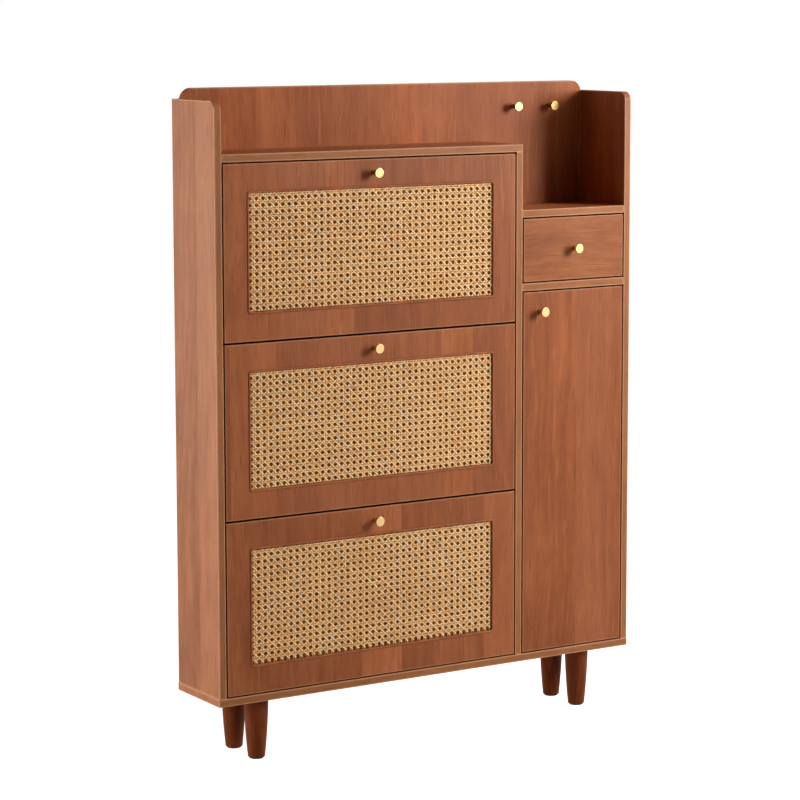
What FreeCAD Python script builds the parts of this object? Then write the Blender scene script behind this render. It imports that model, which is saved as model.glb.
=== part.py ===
"""Shoe cabinet with three flip-out shoe racks, a drawer, a door and an open niche on four tapered legs.

Frame: origin on the floor at the middle of the overall box, +X to the cabinet's right, +Y to its back,
+Z up. All sizes are in millimetres.
"""
import FreeCAD, Part
import math
import os

Vec = FreeCAD.Vector
AXIS_X = Vec(1, 0, 0)
AXIS_Y = Vec(0, 1, 0)
AXIS_Z = Vec(0, 0, 1)

# ---- overall size ----
WIDTH = 960.0                 # across the side panels
DEPTH = 168.0                 # front faces to the back of the carcass
BOARD = 15.0                  # every carcass board and front
BASE_PROUD = 1.0              # bottom board beyond each side panel
LEG_HEIGHT = 120.0
SIDE_TOP = 1267.0
BACK_BOARD_TOP = 1287.0
KNOB_REACH = 20.0             # knob disc's face in front of the front board

# ---- heights of the boards' top faces ----
TOP_PANEL_TOP = 1168.0
NICHE_SHELF_TOP = 1037.0
DRAWER_SHELF_TOP = 890.0

# ---- layout ----
RIGHT_BAY_WIDTH = 251.0
SIDE_GAP = 3.0                # beside an inset front
END_GAP = 3.0                 # above and below an inset front, at a board
MID_GAP = 4.0                 # between two flip fronts
FLIP_NAMES = ("lower", "middle", "upper")
EDGE_ROUND = 0.8
SIDE_CORNER_RADIUS = 18.0
BACK_CORNER_RADIUS = 24.0

# ---- thin back panels ----
BACK_PANEL = 3.0
BACK_PANEL_INSET = 8.0        # its rear face in from the carcass's rear face
PANEL_GROOVE_DEPTH = 5.0
PANEL_GROOVE_SLACK = 0.1

# ---- cane pocket in a flip front ----
CANE_MARGIN_X = 49.5
CANE_MARGIN_Z = 51.0
POCKET_DEPTH = 6.0
POCKET_RADIUS = 8.0
BEAD_GAP = 0.3
BEAD_WIDTH = 4.2
BEAD_PROUD = 1.4              # bead's crown in front of the front board
BEAD_ROUND = 1.9
CANE_RECESS = 1.8
CANE_THICKNESS = 2.4

# ---- knobs and hooks ----
KNOB_RADIUS = 9.5
KNOB_DISC = 4.0
KNOB_STEM_RADIUS = 5.0
KNOB_STUD_RADIUS = 2.0
KNOB_STUD_LENGTH = 11.0
KNOB_ROUND = 0.8
FLIP_KNOB_INSET = 26.0        # knob centre below the flip front's top edge
DOOR_KNOB_INSET = 40.0        # knob centre from the door's top and free edges
HOOK_REACH = 22.0
HOOK_SPACING = 90.0
HOOK_DROP = 30.0              # hooks below the side panels' top

# ---- flip pivots and racks ----
PIVOT_ABOVE_EDGE = 25.0
PIN_RADIUS = 3.0
PIN_IN_FRONT = 20.0
BUSH_RADIUS = 5.0
BUSH_LENGTH = 10.0
PIN_RUNNING_GAP = 0.05
PIN_END_GAP = 1.0
RACK_BOARD = 9.0
RACK_SIDE_GAP = 6.0           # rack side plate to the carcass
RACK_REACH = 140.0            # rear of the rack behind the pivot axis
RACK_RADIUS = 305.0           # side plate's arc about the pivot axis
RACK_DROP = 20.0              # underside of the rack below the pivot axis
RACK_REAR_HEIGHT = 110.0      # rear board's top above the pivot axis
RACK_RAIL_HEIGHT = 150.0      # upper rail's underside above the pivot axis
RACK_RAIL_DEPTH = 56.0
FLIP_OPEN_DEG = 45.0
STOP_RADIUS = 110.0           # stop pin's distance from the pivot axis
STOP_START_DEG = 75.0         # stop pin's place above the horizontal
STOP_CLEARANCE = 0.6
STOP_IN_BOARD = 8.0

# ---- drawer ----
DRAWER_SIDE = 12.0
DRAWER_LENGTH = 130.0
DRAWER_HEIGHT = 100.0
DRAWER_RISE = 6.0             # drawer box above the drawer front's lower edge
DRAWER_SIDE_GAP = 3.0
DRAWER_BOTTOM = 3.0
DRAWER_BOTTOM_RISE = 8.0
DRAWER_BOTTOM_GROOVE = 4.0
RUNNER_HEIGHT = 10.0
RUNNER_BITE = 5.0             # runner strip inside the side's groove
RUNNER_SLACK = 0.4
RUNNER_START = 20.0
RUNNER_LENGTH = 130.0

# ---- door ----
DOOR_AXIS_INSET = 15.5        # pivot axis from the right side panel's inner face
CATCH_SIZE = (38.0, 12.0, 10.0)
CATCH_GAP = 0.4
STRIKE_THICKNESS = 1.2
STRIKE_SIZE = (24.0, 8.0)
STRIKE_EMBED = 1.2

# ---- adjustable shelves ----
SHELF_FRONT = 26.0
SHELF_SIDE_GAP = 0.5
SHELF_HEIGHTS = (370.0, 620.0)
SHELF_PIN_RADIUS = 2.5
SHELF_PIN_LENGTH = 16.0
SHELF_PIN_ROWS = (46.0, 130.0)

# ---- legs ----
LEG_INSET_X = 100.0
LEG_ROWS = (39.0, 129.0)      # leg centres behind the front faces
LEG_TOP_RADIUS = 24.0
LEG_MID_RADIUS = 21.6
LEG_FOOT_RADIUS = 16.6
LEG_FOOT_ROUND = 1.6
GLIDE_RADIUS = 14.0
GLIDE_THICKNESS = 2.5
LEG_BOLT_RADIUS = 4.0
LEG_BOLT_IN_LEG = 35.0
INSERT_RADIUS = 5.5
INSERT_FLANGE_RADIUS = 11.0
INSERT_FLANGE = 1.5

# ---- carcass fittings ----
CAM_RADIUS = 7.5
CAM_DEPTH = 12.5
CAM_SETBACK = 34.0            # cam centre from the board's end
CAM_SLOT_WIDTH = 2.4
CAM_SLOT_DEPTH = 2.0
CAM_BOLT_RADIUS = 3.0
CAM_BOLT_IN_BOARD = 9.0
CAM_ROWS = (45.0, 118.0)
DOWEL_RADIUS = 4.0
DOWEL_LENGTH = 28.0
DOWEL_IN_SIDE = 9.0
DOWEL_ROW = 82.0
BASE_SCREW_RADIUS = 3.0
BASE_SCREW_HEAD_RADIUS = 5.0
BASE_SCREW_HEAD = 3.0
BASE_SCREW_LENGTH = 50.0
BASE_SCREW_ROWS = (30.0, 138.0)
BASE_DOWEL_ROWS = (60.0, 108.0)
FIT_SLACK = 0.05              # radial slack of a fitting in its hole

# ---- derived places ----
FRONT_Y = KNOB_REACH - (DEPTH + KNOB_REACH) / 2
BACK_Y = FRONT_Y + DEPTH
LEFT_X = -WIDTH / 2
RIGHT_X = WIDTH / 2
INNER_LEFT = LEFT_X + BOARD
INNER_RIGHT = RIGHT_X - BOARD
DIVIDER_RIGHT = INNER_RIGHT - RIGHT_BAY_WIDTH
DIVIDER_LEFT = DIVIDER_RIGHT - BOARD
FLOOR_TOP = LEG_HEIGHT + BOARD
TOP_PANEL_UNDER = TOP_PANEL_TOP - BOARD
NICHE_SHELF_UNDER = NICHE_SHELF_TOP - BOARD
DRAWER_SHELF_UNDER = DRAWER_SHELF_TOP - BOARD
BACK_BOARD_FRONT = BACK_Y - BOARD
BACK_PANEL_Y = BACK_Y - BACK_PANEL_INSET - BACK_PANEL
MID_BOARD_Y = FRONT_Y + BOARD / 2
FRONT_REAR_Y = FRONT_Y + BOARD
FLIP_LEFT = INNER_LEFT + SIDE_GAP
FLIP_RIGHT = DIVIDER_LEFT - SIDE_GAP
FLIP_CENTRE_X = (FLIP_LEFT + FLIP_RIGHT) / 2
FLIP_HEIGHT = (TOP_PANEL_UNDER - FLOOR_TOP - 2 * END_GAP - 2 * MID_GAP) / 3
BAY_CENTRE_X = (DIVIDER_RIGHT + INNER_RIGHT) / 2
BAY_FRONT_LEFT = DIVIDER_RIGHT + SIDE_GAP
BAY_FRONT_RIGHT = INNER_RIGHT - SIDE_GAP
DOOR_AXIS_X = INNER_RIGHT - DOOR_AXIS_INSET
DOOR_BOTTOM = FLOOR_TOP + END_GAP
DOOR_TOP = DRAWER_SHELF_UNDER - END_GAP
DRAWER_FRONT_BOTTOM = DRAWER_SHELF_TOP + END_GAP
DRAWER_FRONT_TOP = NICHE_SHELF_UNDER - END_GAP


# ---- shape helpers ----
def block(x_span, y_span, z_span):
    """A plain box between two values along each axis."""
    corner = Vec(x_span[0], y_span[0], z_span[0])
    return Part.makeBox(x_span[1] - x_span[0], y_span[1] - y_span[0], z_span[1] - z_span[0], corner)


def board(x_span, y_span, z_span, radius=EDGE_ROUND):
    """A box with softened edges."""
    solid = block(x_span, y_span, z_span)
    return solid.makeFillet(radius, solid.Edges)


def rod(radius, length, start, axis):
    return Part.makeCylinder(radius, length, start, axis)


def cut_all(solid, tools):
    """The solid less every tool in the list."""
    return solid.cut(Part.makeCompound(tools)) if tools else solid


def rounded_plate(x_span, z_span, y_span, radius):
    """A plate in the XZ plane with rounded corners, between two Y values."""
    solid = block(x_span, y_span, z_span)
    upright = [e for e in solid.Edges if abs(e.Vertexes[0].Y - e.Vertexes[1].Y) > 1e-6]
    return solid.makeFillet(radius, upright)


def edges_along_y_at(solid, x, z):
    """Edges parallel to Y through the point (x, z)."""
    found = []
    for edge in solid.Edges:
        a, b = edge.Vertexes[0].Point, edge.Vertexes[-1].Point
        if max(abs(a.x - x), abs(b.x - x), abs(a.z - z), abs(b.z - z)) < 1e-6:
            found.append(edge)
    return found


def revolve_profile(points, centre, axis_turn):
    """A solid of revolution from (radius, height) points, built about +Z, then turned and placed."""
    wire = Part.makePolygon([Vec(r, 0, h) for r, h in points] + [Vec(points[0][0], 0, points[0][1])])
    solid = Part.Face(wire).revolve(Vec(0, 0, 0), AXIS_Z, 360)
    solid.Placement = FreeCAD.Placement(centre, axis_turn).multiply(solid.Placement)
    return solid


def place_at(solid, offset):
    moved = solid.copy()
    moved.translate(offset)
    return moved


# ---- fittings that recur ----
def make_knob(x, z, face_y, reach):
    """A turned knob: disc, stem and stud as one piece, on a face that looks to -Y."""
    turn = FreeCAD.Rotation(AXIS_X, 90)
    disc = rod(KNOB_RADIUS, KNOB_DISC, Vec(0, 0, reach - KNOB_DISC), AXIS_Z)
    disc = disc.makeFillet(KNOB_ROUND, [e for e in disc.Edges if isinstance(e.Curve, Part.Circle)])
    stem = rod(KNOB_STEM_RADIUS, reach - KNOB_DISC / 2, Vec(0, 0, 0), AXIS_Z)
    stud = rod(KNOB_STUD_RADIUS, KNOB_STUD_LENGTH + 1, Vec(0, 0, -KNOB_STUD_LENGTH), AXIS_Z)
    knob = disc.fuse([stem, stud]).removeSplitter()
    knob.Placement = FreeCAD.Placement(Vec(x, face_y, z), turn)
    return knob


def knob_hole(x, z, face_y):
    return rod(KNOB_STUD_RADIUS + FIT_SLACK, KNOB_STUD_LENGTH + 0.5, Vec(x, face_y, z), AXIS_Y)


def bush(start, axis):
    """A plastic sleeve whose open end is at start and which runs along axis."""
    outer = rod(BUSH_RADIUS, BUSH_LENGTH, start, axis)
    return outer.cut(rod(PIN_RADIUS + PIN_RUNNING_GAP, BUSH_LENGTH, start, axis))


def bush_hole(start, axis):
    return rod(BUSH_RADIUS + FIT_SLACK, BUSH_LENGTH + FIT_SLACK, start, axis)


def pin_hole(start, axis):
    return rod(PIN_RADIUS + FIT_SLACK, PIN_IN_FRONT + FIT_SLACK, start, axis)


def pivot_pin(edge_point, axis, gap):
    """A pin from inside a front board, across the gap, into its bush; axis points out of the front."""
    start = edge_point - axis * PIN_IN_FRONT
    return rod(PIN_RADIUS, PIN_IN_FRONT + gap + BUSH_LENGTH - PIN_END_GAP, start, axis)


def cam_joint(end_point, axis, cam_face, depth_axis):
    """Cam, bolt and their holes at a board's end.

    end_point is on the joint plane at mid-thickness, axis points from the board into the side panel,
    cam_face is the signed distance from mid-thickness to the face that the cam enters, and depth_axis
    is the unit vector of that face's outward normal.
    """
    centre = end_point - axis * CAM_SETBACK
    mouth = centre + depth_axis * cam_face
    across = axis.cross(depth_axis)
    cam = rod(CAM_RADIUS, CAM_DEPTH, mouth - depth_axis * CAM_DEPTH, depth_axis)
    slot_start = mouth - depth_axis * CAM_SLOT_DEPTH - across * CAM_SLOT_WIDTH / 2 - axis * CAM_RADIUS
    slot_wire = Part.makePolygon([
        slot_start,
        slot_start + across * CAM_SLOT_WIDTH,
        slot_start + across * CAM_SLOT_WIDTH + axis * 2 * CAM_RADIUS,
        slot_start + axis * 2 * CAM_RADIUS,
        slot_start,
    ])
    cam = cam.cut(Part.Face(slot_wire).extrude(depth_axis * CAM_SLOT_DEPTH * 2))
    bolt_start = centre + axis * (CAM_RADIUS + FIT_SLACK)
    bolt_length = CAM_SETBACK - CAM_RADIUS - FIT_SLACK + CAM_BOLT_IN_BOARD
    bolt = rod(CAM_BOLT_RADIUS, bolt_length, bolt_start, axis)
    cam_hole = rod(CAM_RADIUS + FIT_SLACK, CAM_DEPTH + FIT_SLACK,
                   mouth - depth_axis * (CAM_DEPTH + FIT_SLACK), depth_axis)
    board_hole = rod(CAM_BOLT_RADIUS + FIT_SLACK, CAM_SETBACK - CAM_RADIUS, centre + axis * CAM_RADIUS, axis)
    side_hole = rod(CAM_BOLT_RADIUS + FIT_SLACK, CAM_BOLT_IN_BOARD + FIT_SLACK, end_point, axis)
    return cam, bolt, [cam_hole, board_hole], [side_hole]


def dowel_joint(end_point, axis):
    """A dowel across a joint plane, with its two holes."""
    start = end_point - axis * (DOWEL_LENGTH - DOWEL_IN_SIDE)
    dowel = rod(DOWEL_RADIUS, DOWEL_LENGTH, start, axis)
    dowel = dowel.makeChamfer(0.8, [e for e in dowel.Edges if isinstance(e.Curve, Part.Circle)])
    board_hole = rod(DOWEL_RADIUS + FIT_SLACK, DOWEL_LENGTH - DOWEL_IN_SIDE + FIT_SLACK, end_point, -axis)
    side_hole = rod(DOWEL_RADIUS + FIT_SLACK, DOWEL_IN_SIDE + FIT_SLACK, end_point, axis)
    return dowel, board_hole, side_hole


# ---- joints between carcass boards, with the holes that they need ----
holes = {name: [] for name in (
    "left_side_panel", "right_side_panel", "bottom_board", "top_panel", "centre_divider",
    "upper_back_board", "niche_shelf", "drawer_shelf")}
cams, cam_bolts, dowels = [], [], []


def join_with_cams(board_name, side_name, end_points, axis, cam_face, depth_axis):
    for point in end_points:
        cam, bolt, board_holes, side_holes = cam_joint(point, axis, cam_face, depth_axis)
        cams.append(cam)
        cam_bolts.append(bolt)
        holes[board_name] += board_holes
        holes[side_name] += side_holes


def join_with_dowels(board_name, side_name, end_points, axis):
    for point in end_points:
        dowel, board_hole, side_hole = dowel_joint(point, axis)
        dowels.append(dowel)
        holes[board_name].append(board_hole)
        holes[side_name].append(side_hole)


def shelf_joints(board_name, top_z, ends):
    """Cams near the front and back and a dowel between them, at each end of a horizontal board."""
    mid_z = top_z - BOARD / 2
    for side_name, x, axis in ends:
        cam_points = [Vec(x, FRONT_Y + row, mid_z) for row in CAM_ROWS]
        join_with_cams(board_name, side_name, cam_points, axis, BOARD / 2, -AXIS_Z)
        join_with_dowels(board_name, side_name, [Vec(x, FRONT_Y + DOWEL_ROW, mid_z)], axis)


shelf_joints("top_panel", TOP_PANEL_TOP, [("left_side_panel", INNER_LEFT, -AXIS_X)])
for shelf, shelf_top in (("niche_shelf", NICHE_SHELF_TOP), ("drawer_shelf", DRAWER_SHELF_TOP)):
    shelf_joints(shelf, shelf_top, [("centre_divider", DIVIDER_RIGHT, -AXIS_X),
                                    ("right_side_panel", INNER_RIGHT, AXIS_X)])

DIVIDER_MID_X = (DIVIDER_LEFT + DIVIDER_RIGHT) / 2
divider_top = [Vec(DIVIDER_MID_X, FRONT_Y + row, TOP_PANEL_UNDER) for row in CAM_ROWS]
join_with_cams("centre_divider", "top_panel", divider_top, AXIS_Z, BOARD / 2, -AXIS_X)
join_with_dowels("centre_divider", "top_panel",
                 [Vec(DIVIDER_MID_X, FRONT_Y + DOWEL_ROW, TOP_PANEL_UNDER)], AXIS_Z)

BACK_BOARD_MID_Y = (BACK_BOARD_FRONT + BACK_Y) / 2
BACK_BOARD_JOINT_HEIGHTS = (NICHE_SHELF_UNDER + 50.0, SIDE_TOP - 45.0)
BACK_BOARD_DOWEL_HEIGHT = sum(BACK_BOARD_JOINT_HEIGHTS) / 2
for side, x, axis in (("left_side_panel", INNER_LEFT, -AXIS_X), ("right_side_panel", INNER_RIGHT, AXIS_X)):
    points = [Vec(x, BACK_BOARD_MID_Y, z) for z in BACK_BOARD_JOINT_HEIGHTS]
    join_with_cams("upper_back_board", side, points, axis, BOARD / 2, AXIS_Y)
    join_with_dowels("upper_back_board", side, [Vec(x, BACK_BOARD_MID_Y, BACK_BOARD_DOWEL_HEIGHT)], axis)

UPRIGHTS = (("left_side_panel", LEFT_X + BOARD / 2), ("centre_divider", DIVIDER_MID_X),
            ("right_side_panel", RIGHT_X - BOARD / 2))
base_screws = []
for upright, x in UPRIGHTS:
    join_with_dowels(upright, "bottom_board",
                     [Vec(x, FRONT_Y + row, FLOOR_TOP) for row in BASE_DOWEL_ROWS], -AXIS_Z)
    for row in BASE_SCREW_ROWS:
        foot = Vec(x, FRONT_Y + row, LEG_HEIGHT)
        head = rod(BASE_SCREW_HEAD_RADIUS, BASE_SCREW_HEAD, foot, AXIS_Z)
        shank = rod(BASE_SCREW_RADIUS, BASE_SCREW_LENGTH, foot, AXIS_Z)
        base_screws.append(head.fuse(shank).removeSplitter())
        head_hole = rod(BASE_SCREW_HEAD_RADIUS + FIT_SLACK, BASE_SCREW_HEAD + FIT_SLACK, foot, AXIS_Z)
        shank_hole = rod(BASE_SCREW_RADIUS + FIT_SLACK, BASE_SCREW_LENGTH + FIT_SLACK, foot, AXIS_Z)
        holes["bottom_board"].append(head_hole.fuse(shank_hole))
        holes[upright].append(shank_hole)

# ---- flip fronts, from the lowest up ----
flip_bottoms = [FLOOR_TOP + END_GAP + i * (FLIP_HEIGHT + MID_GAP) for i in range(3)]
flip_axes = [bottom + PIVOT_ABOVE_EDGE for bottom in flip_bottoms]
bushes, stop_pins = [], []
for axis_z in flip_axes:
    for side, wall_x, outward in (("left_side_panel", INNER_LEFT, -AXIS_X),
                                  ("centre_divider", DIVIDER_LEFT, AXIS_X)):
        mouth = Vec(wall_x, MID_BOARD_Y, axis_z)
        bushes.append(bush(mouth, outward))
        holes[side].append(bush_hole(mouth, outward))
        start_angle = math.radians(STOP_START_DEG)
        wall_point = mouth + Vec(0, math.cos(start_angle), math.sin(start_angle)) * STOP_RADIUS
        pin_start = wall_point + outward * STOP_IN_BOARD
        pin_length = STOP_IN_BOARD + RACK_SIDE_GAP + RACK_BOARD - PIN_END_GAP
        stop_pins.append(rod(PIN_RADIUS, pin_length, pin_start, -outward))
        holes[side].append(rod(PIN_RADIUS + FIT_SLACK, STOP_IN_BOARD + FIT_SLACK, wall_point, outward))

for shelf, z, outward in (("bottom_board", FLOOR_TOP, -AXIS_Z), ("drawer_shelf", DRAWER_SHELF_UNDER, AXIS_Z)):
    mouth = Vec(DOOR_AXIS_X, MID_BOARD_Y, z)
    bushes.append(bush(mouth, outward))
    holes[shelf].append(bush_hole(mouth, outward))

# ---- adjustable shelves' pins ----
shelf_pins = []
for height in SHELF_HEIGHTS:
    for row in SHELF_PIN_ROWS:
        for side, wall_x, outward in (("centre_divider", DIVIDER_RIGHT, -AXIS_X),
                                      ("right_side_panel", INNER_RIGHT, AXIS_X)):
            wall_point = Vec(wall_x, FRONT_Y + row, height - SHELF_PIN_RADIUS)
            start = wall_point + outward * SHELF_PIN_LENGTH / 2
            shelf_pins.append(rod(SHELF_PIN_RADIUS, SHELF_PIN_LENGTH, start, -outward))
            holes[side].append(rod(SHELF_PIN_RADIUS + FIT_SLACK, SHELF_PIN_LENGTH / 2 + FIT_SLACK,
                                   wall_point, outward))

# ---- legs and what holds them ----
leg_places = {
    "leg_front_left": (LEFT_X + LEG_INSET_X, FRONT_Y + LEG_ROWS[0]),
    "leg_front_right": (RIGHT_X - LEG_INSET_X, FRONT_Y + LEG_ROWS[0]),
    "leg_rear_left": (LEFT_X + LEG_INSET_X, FRONT_Y + LEG_ROWS[1]),
    "leg_rear_right": (RIGHT_X - LEG_INSET_X, FRONT_Y + LEG_ROWS[1]),
}


def make_leg():
    """A tapered round leg with a slight swell, about the Z axis, its top at the leg height."""
    foot = GLIDE_THICKNESS
    top_ring = Vec(LEG_TOP_RADIUS, 0, LEG_HEIGHT)
    mid_ring = Vec(LEG_MID_RADIUS, 0, (LEG_HEIGHT + foot) / 2)
    foot_ring = Vec(LEG_FOOT_RADIUS, 0, foot)
    flank = Part.Arc(top_ring, mid_ring, foot_ring).toShape()
    foot_line = Part.LineSegment(foot_ring, Vec(0, 0, foot)).toShape()
    centre_line = Part.LineSegment(Vec(0, 0, foot), Vec(0, 0, LEG_HEIGHT)).toShape()
    top_line = Part.LineSegment(Vec(0, 0, LEG_HEIGHT), top_ring).toShape()
    outline = Part.Wire([flank, foot_line, centre_line, top_line])
    leg = Part.Face(outline).revolve(Vec(0, 0, 0), AXIS_Z, 360)
    foot_edges = [e for e in leg.Edges
                  if isinstance(e.Curve, Part.Circle) and abs(e.BoundBox.ZMax - foot) < 1e-6]
    leg = leg.makeFillet(LEG_FOOT_ROUND, foot_edges)
    bolt_hole = rod(LEG_BOLT_RADIUS + FIT_SLACK, LEG_BOLT_IN_LEG + FIT_SLACK, Vec(0, 0, LEG_HEIGHT), -AXIS_Z)
    return leg.cut(bolt_hole)


leg_shape = make_leg()
bolt_top = FLOOR_TOP - INSERT_FLANGE
leg_bolt = rod(LEG_BOLT_RADIUS, LEG_BOLT_IN_LEG + bolt_top - LEG_HEIGHT,
               Vec(0, 0, LEG_HEIGHT - LEG_BOLT_IN_LEG), AXIS_Z)
insert_flange = rod(INSERT_FLANGE_RADIUS, INSERT_FLANGE, Vec(0, 0, FLOOR_TOP - INSERT_FLANGE), AXIS_Z)
insert_barrel = rod(INSERT_RADIUS, BOARD, Vec(0, 0, LEG_HEIGHT), AXIS_Z)
insert_bore = rod(LEG_BOLT_RADIUS + FIT_SLACK, BOARD, Vec(0, 0, LEG_HEIGHT), AXIS_Z)
insert_shape = insert_flange.fuse(insert_barrel).removeSplitter().cut(insert_bore)
glide_shape = rod(GLIDE_RADIUS, GLIDE_THICKNESS, Vec(0, 0, 0), AXIS_Z)
glide_shape = glide_shape.makeChamfer(0.6, [e for e in glide_shape.Edges if e.BoundBox.ZMax < 1e-6])
leg_bolts, leg_inserts, leg_glides = [], [], []
legs = {}
for name, (x, y) in leg_places.items():
    offset = Vec(x, y, 0)
    legs[name] = place_at(leg_shape, offset)
    leg_bolts.append(place_at(leg_bolt, offset))
    leg_inserts.append(place_at(insert_shape, offset))
    leg_glides.append(place_at(glide_shape, offset))
    holes["bottom_board"].append(rod(INSERT_RADIUS + FIT_SLACK, BOARD, Vec(x, y, LEG_HEIGHT), AXIS_Z))
    holes["bottom_board"].append(rod(INSERT_FLANGE_RADIUS + FIT_SLACK, INSERT_FLANGE,
                                     Vec(x, y, FLOOR_TOP - INSERT_FLANGE), AXIS_Z))

# ---- hooks on the upper back board ----
hooks = {}
for name, sign in (("coat_hook_left", -1), ("coat_hook_right", 1)):
    x = BAY_CENTRE_X + sign * HOOK_SPACING / 2
    z = SIDE_TOP - HOOK_DROP
    hooks[name] = make_knob(x, z, BACK_BOARD_FRONT, HOOK_REACH)
    holes["upper_back_board"].append(knob_hole(x, z, BACK_BOARD_FRONT))

# ---- grooves for the thin back panels ----
GROOVE_Y = (BACK_PANEL_Y - PANEL_GROOVE_SLACK, BACK_PANEL_Y + BACK_PANEL + PANEL_GROOVE_SLACK)
GROOVE_BOTTOM = FLOOR_TOP - PANEL_GROOVE_DEPTH
GROOVE_TOP = NICHE_SHELF_UNDER + PANEL_GROOVE_DEPTH
bays = {"left": (INNER_LEFT, DIVIDER_LEFT), "right": (DIVIDER_RIGHT, INNER_RIGHT)}
groove_cuts = {}
back_panels = {}
for bay, (x_low, x_high) in bays.items():
    x_span = (x_low - PANEL_GROOVE_DEPTH, x_high + PANEL_GROOVE_DEPTH)
    groove_cuts[bay] = block(x_span, GROOVE_Y, (GROOVE_BOTTOM, GROOVE_TOP))
    panel_x = (x_span[0] + PANEL_GROOVE_SLACK, x_span[1] - PANEL_GROOVE_SLACK)
    panel_z = (GROOVE_BOTTOM + PANEL_GROOVE_SLACK, GROOVE_TOP - PANEL_GROOVE_SLACK)
    back_panels[bay + "_back_panel"] = block(panel_x, (BACK_PANEL_Y, BACK_PANEL_Y + BACK_PANEL), panel_z)
holes["left_side_panel"].append(groove_cuts["left"])
holes["right_side_panel"].append(groove_cuts["right"])
for shared in ("centre_divider", "bottom_board", "upper_back_board"):
    holes[shared] += list(groove_cuts.values())


# ---- carcass boards ----
def side_panel(x_span):
    """A side panel with its top front corner rounded."""
    solid = block(x_span, (FRONT_Y, BACK_Y), (FLOOR_TOP, SIDE_TOP))
    corner = [e for e in solid.Edges
              if abs(e.BoundBox.ZMin - SIDE_TOP) < 1e-6 and abs(e.BoundBox.YMax - FRONT_Y) < 1e-6]
    solid = solid.makeFillet(SIDE_CORNER_RADIUS, corner)
    return solid.makeFillet(EDGE_ROUND, solid.Edges)


def back_board():
    """The thick upper back board with both top corners rounded."""
    solid = block((INNER_LEFT, INNER_RIGHT), (BACK_BOARD_FRONT, BACK_Y), (NICHE_SHELF_UNDER, BACK_BOARD_TOP))
    corners = edges_along_y_at(solid, INNER_LEFT, BACK_BOARD_TOP)
    corners += edges_along_y_at(solid, INNER_RIGHT, BACK_BOARD_TOP)
    solid = solid.makeFillet(BACK_CORNER_RADIUS, corners)
    return solid.makeFillet(EDGE_ROUND, solid.Edges)


def divider():
    """The upright between the bays, notched at the back for the upper back board."""
    solid = board((DIVIDER_LEFT, DIVIDER_RIGHT), (FRONT_Y, BACK_Y), (FLOOR_TOP, TOP_PANEL_UNDER))
    notch = block((DIVIDER_LEFT, DIVIDER_RIGHT), (BACK_BOARD_FRONT, BACK_Y),
                  (NICHE_SHELF_UNDER, TOP_PANEL_UNDER))
    return solid.cut(notch)


carcass = {
    "left_side_panel": side_panel((LEFT_X, INNER_LEFT)),
    "right_side_panel": side_panel((INNER_RIGHT, RIGHT_X)),
    "bottom_board": board((LEFT_X - BASE_PROUD, RIGHT_X + BASE_PROUD), (FRONT_Y, BACK_Y),
                          (LEG_HEIGHT, FLOOR_TOP)),
    "top_panel": board((INNER_LEFT, DIVIDER_RIGHT), (FRONT_Y, BACK_BOARD_FRONT),
                       (TOP_PANEL_UNDER, TOP_PANEL_TOP)),
    "centre_divider": divider(),
    "upper_back_board": back_board(),
    "niche_shelf": board((DIVIDER_RIGHT, INNER_RIGHT), (FRONT_Y, BACK_BOARD_FRONT),
                         (NICHE_SHELF_UNDER, NICHE_SHELF_TOP)),
    "drawer_shelf": board((DIVIDER_RIGHT, INNER_RIGHT), (FRONT_Y, BACK_PANEL_Y),
                          (DRAWER_SHELF_UNDER, DRAWER_SHELF_TOP)),
}
nodes = {name: cut_all(solid, holes[name]) for name, solid in carcass.items()}
nodes.update(back_panels)
nodes.update(legs)
nodes.update(hooks)

for name, height in zip(("adjustable_shelf_lower", "adjustable_shelf_upper"), SHELF_HEIGHTS):
    nodes[name] = board((DIVIDER_RIGHT + SHELF_SIDE_GAP, INNER_RIGHT - SHELF_SIDE_GAP),
                        (FRONT_Y + SHELF_FRONT, BACK_PANEL_Y - SHELF_SIDE_GAP), (height, height + BOARD))

nodes["shelf_pins"] = Part.makeCompound(shelf_pins)
nodes["leg_hanger_bolts"] = Part.makeCompound(leg_bolts)
nodes["leg_threaded_inserts"] = Part.makeCompound(leg_inserts)
nodes["leg_glides"] = Part.makeCompound(leg_glides)
nodes["cam_locks"] = Part.makeCompound(cams)
nodes["cam_bolts"] = Part.makeCompound(cam_bolts)
nodes["wooden_dowels"] = Part.makeCompound(dowels)
nodes["base_screws"] = Part.makeCompound(base_screws)
nodes["pivot_bushes"] = Part.makeCompound(bushes)
nodes["flip_stop_pins"] = Part.makeCompound(stop_pins)


# ---- flip-out shoe compartments ----
def flip_front(bottom):
    """A flip front with its cane pocket, knob hole and pivot pin holes."""
    top = bottom + FLIP_HEIGHT
    solid = board((FLIP_LEFT, FLIP_RIGHT), (FRONT_Y, FRONT_REAR_Y), (bottom, top))
    pocket = rounded_plate((FLIP_LEFT + CANE_MARGIN_X, FLIP_RIGHT - CANE_MARGIN_X),
                           (bottom + CANE_MARGIN_Z, top - CANE_MARGIN_Z),
                           (FRONT_Y, FRONT_Y + POCKET_DEPTH), POCKET_RADIUS)
    axis_z = bottom + PIVOT_ABOVE_EDGE
    cuts = [
        pocket,
        knob_hole(FLIP_CENTRE_X, top - FLIP_KNOB_INSET, FRONT_Y),
        pin_hole(Vec(FLIP_LEFT, MID_BOARD_Y, axis_z), AXIS_X),
        pin_hole(Vec(FLIP_RIGHT, MID_BOARD_Y, axis_z), -AXIS_X),
    ]
    return cut_all(solid, cuts)


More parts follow.
